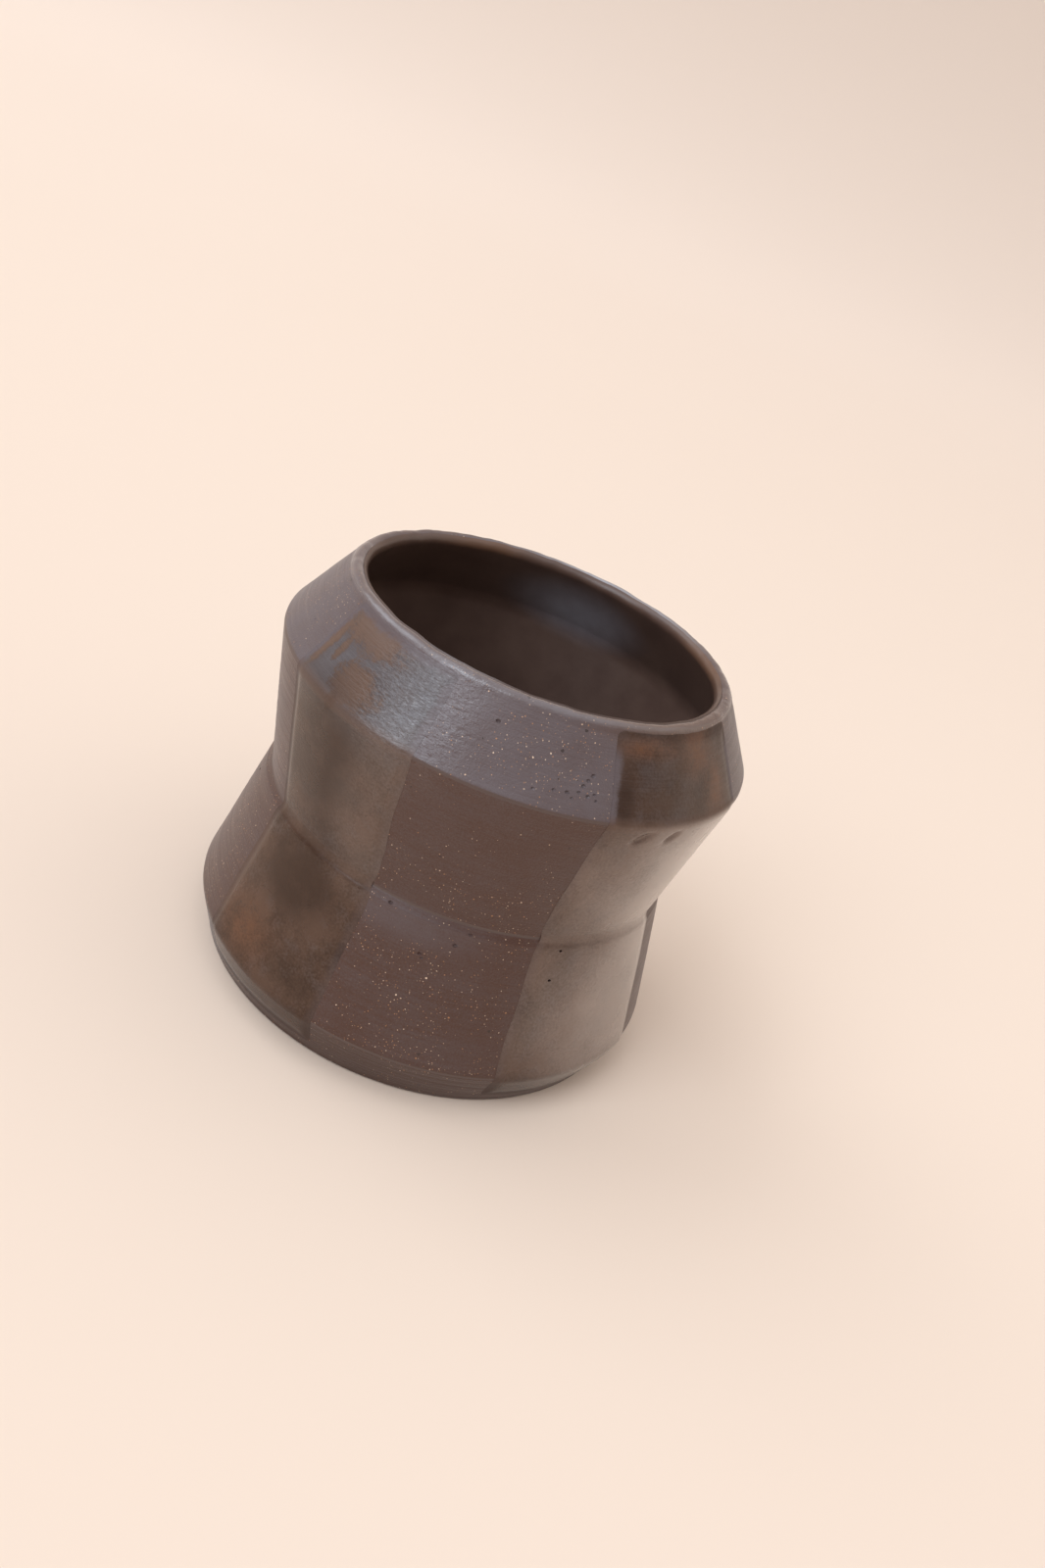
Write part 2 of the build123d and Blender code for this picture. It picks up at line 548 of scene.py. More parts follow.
# %% [markdown]
# ## Liner glaze
#
# The inside is glazed from the floor to the crest of the lip. The inside of the clay could be copied and
# thickened, but its end on the crest would be hard to shape. So the coat has a section of its own, a thin
# loop: out along the face of the glaze, over the crest, and back along the clay. Both ends lie on the axis,
# so the spin closes it.

# %% Make the liner
GLAZE = 0.3
LIP_CREST = Corner(32.9, 74.0)
LINER_PITCH = 0.8 * MM
LINER_EIGHTH_STEPS = 36

# How far the face of the liner stands off a corner of the clay, inwards and upwards, in millimetres
OFF_INNER_CORNER = (0.35, GLAZE)
OFF_LIP_INSIDE = (0.24, 0.18)
OFF_LIP_CREST = (0.19, 0.24)


def moved(corner, inwards, upwards):
    """A corner moved towards the axis and upwards, in millimetres, with the same rounding."""
    place = corner.place / MM
    return Corner(place.x - inwards, place.z + upwards, corner.soft / MM)


LINER_CORNERS = [
    moved(FLOOR_MIDDLE, 0, GLAZE),
    moved(INNER_CORNER, *OFF_INNER_CORNER),
    moved(INNER_WAIST, GLAZE, 0),
    moved(INNER_RIDGE, GLAZE, 0),
    moved(LIP_INSIDE, *OFF_LIP_INSIDE),
    moved(LIP_CREST, *OFF_LIP_CREST),
    LIP_CREST,
    LIP_INSIDE,
    INNER_RIDGE,
    INNER_WAIST,
    INNER_CORNER,
    FLOOR_MIDDLE,
]
liner = draw_section("liner_coat", LINER_CORNERS, lambda place: LINER_PITCH)
spin_eighth_and_double(liner, LINER_EIGHTH_STEPS)
wobble_lip(liner)
bpy.ops.object.shade_smooth_by_angle(angle=SMOOTH_ANGLE)
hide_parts("liner_glaze")
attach(liner, "root")
print("Liner:", len(liner.data.polygons), "faces")

# %% [markdown]
# ## Panels of glaze
#
# The glaze lies in upright panels, from just below the lip to just above the foot. A panel could be a mere
# colour on the clay, but the real glaze stands up from the clay and catches the light along its rim, so
# each panel is a thin skin of its own. Its section is the outside again, this time without the turning
# marks, because glaze melts level, and with fuller curves at the waist, where glaze pools.

# %% Section of a panel
PANELS = {
    "glaze_panel_front_left": (-53, -15),
    "glaze_panel_front_right": (28, 72),
    "glaze_panel_back_right": (118, 164),
    "glaze_panel_back_left": (212, 258),
}
GLAZE_LINE_HEIGHT = 2.4
PANEL_TOP_HEIGHT = 73.4
WAIST_HEIGHT = WAIST.place.z / MM
POOLED_ROLL = 3.0
POOLED_WAIST = 3.2


def panel_corners():
    """The outside from the glaze line to the bare lip. Glaze pools in the waist and fills its crease."""
    low = Corner(outside_radius(GLAZE_LINE_HEIGHT * MM) / MM, GLAZE_LINE_HEIGHT)
    top = Corner(outside_radius(PANEL_TOP_HEIGHT * MM) / MM, PANEL_TOP_HEIGHT)
    pooled_roll = Corner(WAIST_ROLL.place.x / MM, WAIST_ROLL.place.z / MM, POOLED_ROLL)
    pooled_waist = Corner(WAIST.place.x / MM, WAIST_HEIGHT, POOLED_WAIST)
    return [low, KNUCKLE, pooled_roll, pooled_waist, RIDGE, top]


print("Corners of a panel's section:", len(panel_corners()))

# %% [markdown]
# ## Rims of the panels
#
# The edges of the glaze wander a little and their corners are round. They could be cut along a wavy line,
# but it is simpler to turn the vertices near each upright edge about the axis, by the sum of two waves.
# Melted glaze runs out to nothing at its rim, so a vertex group tells Solidify to thin the skin there,
# and an attribute keeps that thinning for the finish, which lets the clay show through. Glaze also runs
# off the shoulder, so the skin is thinner above the ridge.

# %% Wandering edges
PANEL_CORNER = 0.9
EDGE_WANDER = 0.16
SLOW_WAVE = 5.3
QUICK_WAVE = 2.2
QUICK_SHARE = 0.6
QUICK_SHIFT = 2.1
TUCK_DEPTH = 0.5
TUCK_HEIGHT = 1.4

# The wander dies out over one part in this many of a panel's width
WANDER_PART = 5


def edge_inset(height, seed):
    """How far an upright edge stands back at a height: it wanders, tucks in at the waist and ends round."""
    slow = math.sin(height / SLOW_WAVE + seed)
    quick = math.sin(height / QUICK_WAVE + QUICK_SHIFT * seed)
    to_end = min(height - GLAZE_LINE_HEIGHT, PANEL_TOP_HEIGHT - height)
    missing = max(0.0, PANEL_CORNER - to_end)
    rounded = PANEL_CORNER - math.sqrt(max(0.0, PANEL_CORNER**2 - missing**2))
    tuck = TUCK_DEPTH * math.exp(-(((height - WAIST_HEIGHT) / TUCK_HEIGHT) ** 2))
    return EDGE_WANDER * (slow + QUICK_SHARE * quick) + rounded + tuck


def panel_place(vertex, width):
    """A vertex of a fresh panel: its share of the width, its radius, and its height in millimetres."""
    share = math.atan2(vertex.co.y, vertex.co.x) / width
    return share, math.hypot(vertex.co.x, vertex.co.y), vertex.co.z / MM


def wander_edges(panel, width, seed):
    """Turn the vertices near each upright edge of a fresh panel about the axis."""
    other_seed = seed + len(PANELS)
    for vertex in panel.data.vertices:
        share, radius, height = panel_place(vertex, width)
        near_start = max(0.0, 1 - WANDER_PART * share) ** 2
        near_end = max(0.0, 1 - WANDER_PART * (1 - share)) ** 2
        inset = near_start * edge_inset(height, seed) - near_end * edge_inset(height, other_seed)
        vertex.co.rotate(Quaternion((0, 0, 1), inset * MM / radius))


print("An edge stands back at the waist by", edge_inset(WAIST_HEIGHT, seed=1), "mm")

# %% Thin rims
FEATHER = 2.6
RIDGE_HEIGHT = RIDGE.place.z / MM
RUN_OFF = 0.55
RUN_OFF_HEIGHT = 5.0


def limited(share):
    """A share kept between 0 and 1."""
    return min(1.0, max(0.0, share))


def note_thickness(panel, width):
    """Note how thick a fresh panel is: in a group for Solidify, and in an attribute for the finish."""
    thick = panel.vertex_groups.new(name="thick")
    depths = []
    for vertex in panel.data.vertices:
        share, radius, height = panel_place(vertex, width)
        to_side = min(share, 1 - share) * width * radius / MM
        to_rim = min(to_side, height - GLAZE_LINE_HEIGHT, PANEL_TOP_HEIGHT - height)
        depth = 0.5 - 0.5 * math.cos(math.pi * limited(to_rim / FEATHER))
        above_ridge = limited((height - RIDGE_HEIGHT) / RUN_OFF_HEIGHT + 0.5)
        thick.add([vertex.index], depth * (1 - RUN_OFF * above_ridge), "REPLACE")
        depths.append(depth)
    attribute = panel.data.attributes.new("glaze_depth", "FLOAT", "POINT")
    attribute.data.foreach_set("value", depths)


print("The rims are thin over", FEATHER, "mm")

# %% [markdown]
# ## From skin to coat
#
# The spin covers only the panel's own angle, and it leaves an open skin. Displace and Solidify both follow
# the normals, so a skin that faces the axis is flipped first. Then it gets the same wobble, dents and pits
# as the clay under it. Solidify gives it a thickness, mostly outwards. A little of it bites into the clay,
# so that no gap can open between the two.

# %% Spin a panel
PANEL_PITCH = 0.32 * MM


def face_outwards(skin):
    """Flip an open skin if its faces point at the axis."""
    towards_axis = 0.0
    for face in skin.data.polygons:
        towards_axis -= face.normal.dot(Vector((face.center.x, face.center.y, 0)))
    print(skin.name, "is flipped" if towards_axis > 0 else "already faces outwards")
    if towards_axis > 0:
        skin.data.flip_normals()


def spin_panel(node, start, end, seed):
    """The skin of one panel of glaze between two azimuths."""
    width = math.radians(end - start)
    panel = draw_section("coat_" + node, panel_corners(), lambda place: PANEL_PITCH)
    select_only(panel)
    bpy.ops.object.mode_set(mode="EDIT")
    bpy.ops.mesh.select_all(action="SELECT")
    steps = int(width * RIDGE.place.x / PANEL_PITCH)
    bpy.ops.mesh.spin(steps=steps, angle=-width, center=(0, 0, 0), axis=(0, 0, 1))
    bpy.ops.mesh.select_all(action="SELECT")
    bpy.ops.mesh.normals_make_consistent(inside=False)
    bpy.ops.object.mode_set(mode="OBJECT")
    note_thickness(panel, width)
    wander_edges(panel, width, seed)
    panel.rotation_euler.z = math.radians(start) + FRONT
    bpy.ops.object.transform_apply(location=True, rotation=True, scale=True)
    face_outwards(panel)
    return panel


print("Vertices of a panel are", PANEL_PITCH / MM, "mm apart")

# %% Make the panels
GLAZE_BITE = 0.06
RIM_SHARE = 0.06
SOLIDIFY_OUTWARDS = 0.66
PANEL_SMOOTH_ANGLE = math.radians(60)


def thicken(panel):
    """Give a skin the glaze's thickness, thinner towards its rim."""
    solid = panel.modifiers.new("thickness", "SOLIDIFY")
    solid.thickness = (GLAZE + GLAZE_BITE) * MM
    solid.offset = SOLIDIFY_OUTWARDS
    solid.vertex_group = "thick"
    solid.thickness_vertex_group = RIM_SHARE
    apply_modifiers(panel)


panels = []
for seed, (node, (start, end)) in enumerate(PANELS.items(), 1):
    panel = spin_panel(node, start, end, seed)
    wobble(panel)
    wobble_lip(panel)
    press_dents(panel)
    thicken(panel)
    cut_pits(panel, lumps)
    bpy.ops.object.shade_smooth_by_angle(angle=PANEL_SMOOTH_ANGLE)
    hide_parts(node)
    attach(panel, "root")
    panels.append(panel)
    print(panel.name, len(panel.data.polygons), "faces")
bpy.data.objects.remove(lumps)

# %% [markdown]
# ## Shader maths
#
# The finishes are built from nodes. They could be wired up one by one in the shader editor, but a mask that
# takes ten nodes there is one line of arithmetic here. A small class wraps one socket, so that a sum or a
# product of masks can be written out, and each step of it adds a Math node. Every other node comes from its
# one method, add, which takes the node's type, its settings and its sockets.

# %% A wrapped socket
class Wire:
    """A value in a material's nodes. Arithmetic on wires adds Math nodes."""

    def __init__(self, tree, socket=None):
        self.tree = tree
        self.socket = socket

    def add(self, kind, settings=None, sockets=None, result=0):
        """Add a node, set it up, connect or fill its sockets, and return one of its results as a wire."""
        node = self.tree.nodes.new(kind)
        for name, value in (settings or {}).items():
            setattr(node, name, value)
        for key, value in (sockets or {}).items():
            self.fill(node.inputs[key], value)
        return Wire(self.tree, node.outputs[result])

    def fill(self, socket, value):
        """Link a wire to a socket, or set the socket to a plain value."""
        if isinstance(value, Wire):
            self.tree.links.new(value.socket, socket)
        else:
            socket.default_value = value

    def other(self, result):
        """Another result of the same node."""
        return Wire(self.tree, self.socket.node.outputs[result])

    def maths(self, operation, *values):
        """One Math node."""
        return self.add("ShaderNodeMath", {"operation": operation}, dict(enumerate(values)))

    def __add__(self, other):
        return self.maths("ADD", self, other)

    def __sub__(self, other):
        return self.maths("SUBTRACT", self, other)

    def __rsub__(self, other):
        return self.maths("SUBTRACT", other, self)

    def __mul__(self, other):
        return self.maths("MULTIPLY", self, other)

    __radd__ = __add__
    __rmul__ = __mul__

    def between(self, low, high):
        """A smooth step: 0 below low, 1 above high."""
        settings = {"interpolation_type": "SMOOTHSTEP"}
        sockets = {"Value": self, "From Min": low, "From Max": high}
        return self.add("ShaderNodeMapRange", settings, sockets)

    def mix(self, mask, first, second):
        """A colour between two colours."""
        return self.add("ShaderNodeMix", {"data_type": "RGBA"}, {0: mask, 6: first, 7: second}, 2)


print("Wires can be added, subtracted, multiplied, stepped and mixed")

# %% [markdown]
# ## Places and patterns
#
# Painted images would need a UV map on each piece, and they would break at its seams. So all patterns read
# Object coordinates, which here are metres in the frame of the cup, and run on from piece to piece. Noise
# that is stretched round the cup gives streaks, cell textures give specks, and an azimuth and a height pick
# out single spots.

# %% A new finish
NOISE_ROUGHNESS = 0.55


class Finish(Wire):
    """A new material with its shader, its Object coordinates and its height in millimetres."""

    def __init__(self, name):
        self.material = bpy.data.materials.new(name)
        self.material.use_nodes = True
        super().__init__(self.material.node_tree)
        self.shader = self.tree.nodes["Principled BSDF"]
        self.place = self.add("ShaderNodeTexCoord", result="Object")
        self.height = self.add("ShaderNodeSeparateXYZ", None, {0: self.place}, "Z") * (1 / MM)

    def along(self, way):
        """How far a point lies along a direction, in millimetres."""
        settings = {"operation": "DOT_PRODUCT"}
        return self.add("ShaderNodeVectorMath", settings, {0: self.place, 1: way / MM}, "Value")

    def noise(self, around, upright=None, detail=2.0, shift=0.0):
        """Noise from 0 to 1 whose lumps are about this many millimetres wide and high."""
        upright = upright or around
        scale = Vector((1 / around, 1 / around, 1 / upright)) / MM
        place = self.add("ShaderNodeMapping", None, {"Vector": self.place, "Scale": scale})
        sockets = {"Vector": place, "W": shift, "Scale": 1.0, "Detail": detail, "Roughness": NOISE_ROUGHNESS}
        return self.add("ShaderNodeTexNoise", {"noise_dimensions": "4D"}, sockets)

    def bump(self, height, depth, under=None):
        """A normal from a pattern of the given depth in millimetres, over another normal if there is one."""
        sockets = {"Height": height, "Strength": 1.0, "Distance": depth * MM}
        if under:
            sockets["Normal"] = under
        return self.add("ShaderNodeBump", None, sockets)

    def set(self, **values):
        """Set or link sockets of the shader, named with underscores for spaces."""
        for name, value in values.items():
            self.fill(self.shader.inputs[name.replace("_", " ")], value)


print("Finishes measure in units of", MM, "metres")

# %% Specks
SPECK_SHIFT = Vector((1.0, 0.37, 0.61))
SPECK_RAGGED_SIZE = 0.25
SPECK_RAGGED = 1.5
LEAST_SPECK = 0.35
SPECK_EDGE = 0.05
KEPT_EDGE = 0.03


def specks(finish, spacing, radius, density, shift):
    """A mask of ragged specks up to a radius in millimetres, and a random number for each of them."""
    scale = Vector((1, 1, 1)) / (spacing * MM)
    sockets = {"Vector": finish.place, "Location": SPECK_SHIFT * shift, "Scale": scale}
    place = finish.add("ShaderNodeMapping", None, sockets)
    distance = finish.add("ShaderNodeTexVoronoi", None, {"Vector": place, "Scale": 1.0}, "Distance")
    random_size = finish.add("ShaderNodeSeparateColor", None, {0: distance.other("Color")}, "Red")
    ragged = finish.noise(SPECK_RAGGED_SIZE, detail=1, shift=shift)
    size = LEAST_SPECK + (1 - LEAST_SPECK) * random_size
    reach = (size + SPECK_RAGGED * (ragged - 0.5)) * radius
    inside = (reach - distance * spacing).between(0.0, SPECK_EDGE)
    kept = (density - random_size.other("Green")).between(0.0, KEPT_EDGE)
    return inside * kept, random_size.other("Blue")


print("The smallest specks are", LEAST_SPECK, "of the size of the largest")

# %% Spots, bands and sides
# The side of the cup that faces the window light; painted sheen in the colours is strongest there.
WINDOW_SIDE = direction(-20)
WINDOW_FADE = (-10, 25)
WINDOW_LEAST = 0.3
FACING_DEPTH = 5.0
EVEN_SHINE = 0.06
SCRATCH_SHINE = 0.8
SCRATCH_FADE = (0.48, 0.74)


def spot(finish, azimuth, height, half_width, half_height, soft):
    """A mask of one oval spot: its middle in degrees and millimetres, its half sizes in millimetres."""
    outwards = direction(azimuth)
    sideways = Vector((-outwards.y, outwards.x, 0.0))
    across = finish.along(sideways) * (1 / half_width)
    up = (finish.height - height) * (1 / half_height)
    away = finish.maths("SQRT", across * across + up * up)
    facing = finish.along(outwards).between(0.0, FACING_DEPTH)
    return (1 - away.between(1 - soft, 1 + soft)) * facing


def largest(finish, spots, soft):
    """One mask of several spots."""
    mask = spot(finish, *spots[0], soft=soft)
    for place in spots[1:]:
        mask = finish.maths("MAXIMUM", mask, spot(finish, *place, soft=soft))
    return mask


def level_band(finish, height, half_height, soft):
    """A mask of a level band round the cup, with sizes in millimetres."""
    away = finish.maths("ABSOLUTE", finish.height - height)
    return 1 - away.between(half_height, half_height + soft)


def window_side(finish):
    """A mask that fades from the front left of the cup, which faces the window light, to its right side."""
    return WINDOW_LEAST + (1 - WINDOW_LEAST) * finish.along(WINDOW_SIDE).between(*WINDOW_FADE)


def sparkle(finish):
    """Fine level scratches that catch the light, with an even shine under them."""
    scratches = finish.noise(around=1.0, upright=0.24, detail=3, shift=12.0)
    return EVEN_SHINE + SCRATCH_SHINE * scratches.between(*SCRATCH_FADE)


print("The cool side faces", WINDOW_SIDE)

# %% [markdown]
# ## Bare clay
#
# The bare stoneware is purple-brown and dry, but not dead matt: the turning burnished it, so that it takes a
# soft sheen, and the lip has a glossier one. Its colour also holds painted light: a painted blue-grey sheen
# on the shoulder and in a band under the waist, a painted highlight on the back of the lip, and painted
# shade on the bevel by the foot; the shoulder is also painted lighter and greyer. It holds tan specks of
# grit, from dust to half a millimetre, a few dark iron spots, and level streaks from the turning. The specks
# crowd on the lower wall, along the knuckle and on the shoulder, and thin out on the upper wall. One even
# noise would look like sandpaper, so dust, grit and iron are three layers of cells, and one mask says how
# many of them show.

# %% Where the specks crowd
KNUCKLE_HEIGHT = KNUCKLE.place.z / MM
SPECK_CROWDS = [
    # azimuth, height, half width, half height
    (-63.0, 24.0, 8.0, 10.0), (1.5, 23.5, 7.0, 4.5), (14.0, 67.5, 7.0, 5.0), (-66.0, 70.0, 5.0, 4.0),
]


def speck_density(clay):
    """What share of the possible specks shows at a place."""
    crowd = clay.noise(around=9, detail=1, shift=9.0).between(0.36, 0.66)
    lower = 1 - clay.height.between(WAIST_HEIGHT - 1, WAIST_HEIGHT + 1)
    above_waist = level_band(clay, WAIST_HEIGHT + 4, half_height=4, soft=5)
    shoulder = clay.height.between(RIDGE_HEIGHT - 2.5, RIDGE_HEIGHT + 0.5)
    knuckle = level_band(clay, KNUCKLE_HEIGHT + 0.5, half_height=0.5, soft=1.2)
    by_height = 0.05 + 0.36 * lower + 0.24 * above_waist + 0.3 * shoulder
    return 0.03 + crowd * by_height + 0.3 * knuckle + 0.42 * largest(clay, SPECK_CROWDS, soft=0.8)


print("Crowds of specks:", len(SPECK_CROWDS))

# %% Patterns of the clay
# A spot on the back of the lip that is glossier and that also carries a painted highlight in the colour.
LIP_GLOSS_AND_HIGHLIGHT = (160.0, 74.0, 17.0, 1.4)


class ClayPatterns:
    """The noise, the specks and the places that the colour and the surface of the clay share."""

    def __init__(self, clay):
        self.streaks = clay.noise(around=26, upright=0.5, detail=3)
        self.mottle = clay.noise(around=9, detail=3, shift=2.0)
        self.grain = clay.noise(around=0.32, detail=1, shift=5.0)
        self.shoulder = clay.height.between(RIDGE_HEIGHT - 0.6, RIDGE_HEIGHT + 0.6)
        self.lip_gloss_and_highlight = spot(clay, *LIP_GLOSS_AND_HIGHLIGHT, soft=0.8) * (0.4 + self.mottle)
        density = speck_density(clay)
        self.dust, self.dust_hue = specks(clay, spacing=0.47, radius=0.12, density=2.4 * density, shift=1.0)
        self.grit, self.grit_hue = specks(clay, spacing=1.2, radius=0.19, density=0.75 * density, shift=3.0)
        self.iron, _ = specks(clay, spacing=2.4, radius=0.34, density=0.12 + 0.2 * density, shift=6.0)


bare_clay = Finish("bare_clay")
clay_patterns = ClayPatterns(bare_clay)
print("Patterns of the clay:", ", ".join(vars(clay_patterns)))

# %% Colour of the clay
CLAY_BROWN = (0.074, 0.031, 0.020, 1)
CLAY_GREY = (0.098, 0.064, 0.059, 1)
# Painted sheen: a blue-grey that stands for window light reflected off the clay.
CLAY_PAINTED_SHEEN = (0.126, 0.100, 0.106, 1)
CLAY_DARK = (0.03, 0.017, 0.013, 1)
# Painted shade: a darker brown for the down-facing bevel by the foot.
CLAY_FOOT_SHADE = (0.055, 0.023, 0.013, 1)
SPECK_RUST = (0.42, 0.20, 0.09, 1)
SPECK_TAN = (0.80, 0.60, 0.44, 1)
# Painted highlight: a pale blue-grey on the back of the lip.
LIP_PAINTED_HIGHLIGHT = (0.30, 0.30, 0.33, 1)
LIP_RUST = (0.105, 0.052, 0.031, 1)
# Painted highlight: a band under the waist, lightened towards blue-grey in the colour.
WAIST_PAINTED_HIGHLIGHT = (-5.0, 31.6, 12.0, 2.8)
LIP_STAINS = [
    # azimuth, height, half width, half height
    (50.0, 73.2, 14.0, 2.6), (141.0, 73.2, 14.0, 2.6),
]


def foot_shade(finish):
    """A mask of the bevel by the foot, where shade is painted into the colour."""
    return 1 - finish.height.between(KNUCKLE_HEIGHT - 1.5, KNUCKLE_HEIGHT + 1.5)


def clay_colour(clay, seen):
    """Brown to grey clay with painted sheen on the shoulder, painted shade by the foot, stains and a painted
    highlight on the lip, and its specks.
    """
    tone = 0.3 + 1.1 * (seen.mottle - 0.5) + 1.1 * (seen.streaks - 0.5)
    # The shoulder is also made greyer and lighter: painted light on the up-facing shoulder.
    tone = tone + 1.4 * (seen.grain - 0.5) + 0.45 * seen.shoulder
    colour = clay.mix(tone, CLAY_BROWN, CLAY_GREY)
    # Painted sheen: the shoulder on the window side, and a band under the waist, are mixed towards a
    # blue-grey that stands for reflected window light.
    shoulder_painted_sheen = 0.85 * seen.shoulder * window_side(clay)
    painted_sheen = clay.maths("MAXIMUM", shoulder_painted_sheen, 0.45 * spot(clay, *WAIST_PAINTED_HIGHLIGHT, soft=0.8))
    colour = clay.mix(painted_sheen * (0.8 + 1.2 * (seen.mottle - 0.5)), colour, CLAY_PAINTED_SHEEN)
    # Painted shade on the down-facing bevel by the foot.
    colour = clay.mix(0.7 * foot_shade(clay), colour, CLAY_FOOT_SHADE)
    stains = largest(clay, LIP_STAINS, soft=0.5) * (0.7 + 1.2 * (seen.mottle - 0.5))
    colour = clay.mix(stains, colour, LIP_RUST)
    # Painted highlight on the back of the lip.
    colour = clay.mix(0.75 * seen.lip_gloss_and_highlight, colour, LIP_PAINTED_HIGHLIGHT)
    colour = clay.mix(seen.iron * 0.85, colour, CLAY_DARK)
    dust_colour = clay.mix(seen.dust_hue.between(0.3, 1.0), SPECK_RUST, SPECK_TAN)
    colour = clay.mix(seen.dust * 0.85, colour, dust_colour)
    grit_colour = clay.mix(seen.grit_hue.between(0.3, 0.8), SPECK_RUST, SPECK_TAN)
    return clay.mix(seen.grit * 0.95, colour, grit_colour)


bare_clay.set(Base_Color=clay_colour(bare_clay, clay_patterns))
print("Nodes in the clay so far:", len(bare_clay.tree.nodes))

# %% Surface of the clay
LIP_START = 73.0
BURNISH_SPOT = (-14.0, 67.5, 5.0, 9.0)


def clay_surface(clay, seen):
    """How rough, bumpy and glossy the clay is: glossiest where it is burnished and on the lip."""
    burnish = spot(clay, *BURNISH_SPOT, soft=0.8)
    relief = clay.noise(around=1.3, upright=0.5, detail=3, shift=8.0)
    lip = clay.height.between(LIP_START, LIP_START + 0.8)
    rough = 0.47 - 0.18 * burnish - 0.25 * lip
    rough = rough + 0.2 * (seen.mottle - 0.5) + 0.4 * (seen.streaks - 0.5) + 0.2 * seen.grit
    normal = clay.bump(seen.streaks, depth=0.09)
    normal = clay.bump(relief * (0.1 + burnish + 0.3 * lip), depth=0.25, under=normal)
    normal = clay.bump(seen.grain, depth=0.055, under=normal)
    gloss = 0.5 * sparkle(clay) * burnish + 0.7 * lip * window_side(clay) * (0.2 + seen.mottle)
    gloss = clay.maths("MAXIMUM", gloss, 0.8 * seen.lip_gloss_and_highlight)
    clay.set(Roughness=rough, Normal=normal, IOR=1.5)
    clay.set(Coat_Weight=gloss, Coat_Roughness=0.28, Coat_IOR=1.9)
    clay.set(Sheen_Weight=0.15, Sheen_Roughness=0.4)


clay_surface(bare_clay, clay_patterns)
for piece in clay_pieces:
    piece.data.materials.append(bare_clay.material)
print("Clay finish on", len(clay_pieces), "pieces")

# %% [markdown]
# ## Panel glaze
#
# The glaze is a satin dark brown that breaks to orange-brown where it is thin, along the lip and the sides.
# Its colour also holds painted light: a painted blue-grey sheen on the shoulder, strongest on the front
# left, painted reflections that make it paler on the front right and darker on the upper front left, a warm
# one low on the front left, and a waist crease lightened against its shade. Towards the right it is also
# glossier.
# Some spots dried to a flatter, browner skin. Noise alone could not put these where they are on the cup, so
# each kind is a short list of oval spots, and noise breaks up their edges. The surface is level but finely
# pebbled, so that reflections in it have grainy edges. On the shoulder the turning marks still show through.

# %% Patterns of the glaze
RIGHT_SIDE = direction(90)
RIGHT_FADE = (5, 20)
LIP_FADE = (69.0, 71.5)
GLINT_SPOT = (-22.0, 67.0, 7.0, 8.0)
# Painted reflection: a faint paler patch on the upper front left.
FAINT_REFLECTION_SPOT = (-18.0, 48.0, 9.0, 15.0)
FLAT_SPOTS = [
    # azimuth, height, half width, half height
    (-41.0, 71.2, 6.6, 2.8), (-35.0, 64.4, 4.4, 2.7), (-50.3, 67.0, 1.0, 4.2), (-45.6, 67.6, 0.9, 2.0),
    (138.0, 67.5, 5.0, 3.4), (240.0, 64.8, 4.6, 2.6),
]
# Pale spots: on the front right they are a painted reflection of the bright surround, on the back they are
# paler glaze.
PALE_AND_REFLECTION_SPOTS = [
    (70.0, 47.0, 28.0, 18.0), (70.0, 21.0, 25.5, 17.0), (136.0, 24.0, 18.0, 12.0), (232.0, 47.0, 20.0, 13.0),
]


class GlazePatterns:
    """The noise, the thin rims and the spots that the colour and the surface of the panels share."""

    def __init__(self, glaze):
        self.depth = glaze.add("ShaderNodeAttribute", {"attribute_name": "glaze_depth"}, None, "Fac")
        self.clouds = glaze.noise(around=9, detail=3, shift=1.0)
        self.drift = glaze.noise(around=11, detail=3, shift=4.0)
        self.pebble = glaze.noise(around=0.45, detail=1, shift=7.0)
        self.streaks = glaze.noise(around=12, upright=0.42, detail=3, shift=10.0)
        ragged = glaze.noise(around=3.2, detail=5, shift=6.0)
        self.speckle = 2.2 * (ragged - 0.5) + 1.0 * (self.pebble - 0.5)
        self.shoulder = glaze.height.between(RIDGE_HEIGHT - 0.4, RIDGE_HEIGHT + 0.8)
        self.glints = spot(glaze, *GLINT_SPOT, soft=0.8)
        self.add_rims(glaze)
        self.add_spots(glaze)

    def add_rims(self, glaze):
        """Where clay shows through a thin rim, where glaze breaks thin on the ridge, and the waist crease,
        whose shade is lifted by painted light.
        """
        self.to_right = glaze.along(RIGHT_SIDE)
        to_lip = glaze.height.between(*LIP_FADE) * self.to_right.between(*RIGHT_FADE)
        thin = 1 - (self.depth + 0.5 * self.speckle).between(0.05, 0.7)
        self.bare = thin * (0.12 + 0.73 * self.shoulder) * (1 - to_lip)
        crease = level_band(glaze, WAIST_HEIGHT, half_height=0.3, soft=1.5)
        ridge = level_band(glaze, RIDGE_HEIGHT, half_height=0.4, soft=1.2)
        self.edges = glaze.maths("MAXIMUM", ridge, 0.5 * crease)

    def add_spots(self, glaze):
        """The flat spots, and the pale ones, which are partly painted reflection, broken up by noise."""
        near_flat = largest(glaze, FLAT_SPOTS, soft=0.9)
        broken = near_flat + 0.8 * self.speckle * near_flat.between(0.0, 0.3)
        self.flat = (broken + 0.6 * (self.streaks - 0.5)).between(0.15, 0.85)
        near_pale_and_reflection = largest(glaze, PALE_AND_REFLECTION_SPOTS, soft=0.6) * (1 - self.shoulder)
        self.near_pale_and_reflection = near_pale_and_reflection + 0.3 * spot(glaze, *FAINT_REFLECTION_SPOT, soft=0.4)
        self.pale_and_reflection = self.near_pale_and_reflection * (0.63 + 1.2 * (self.drift - 0.5) + 0.6 * (self.pebble - 0.5))


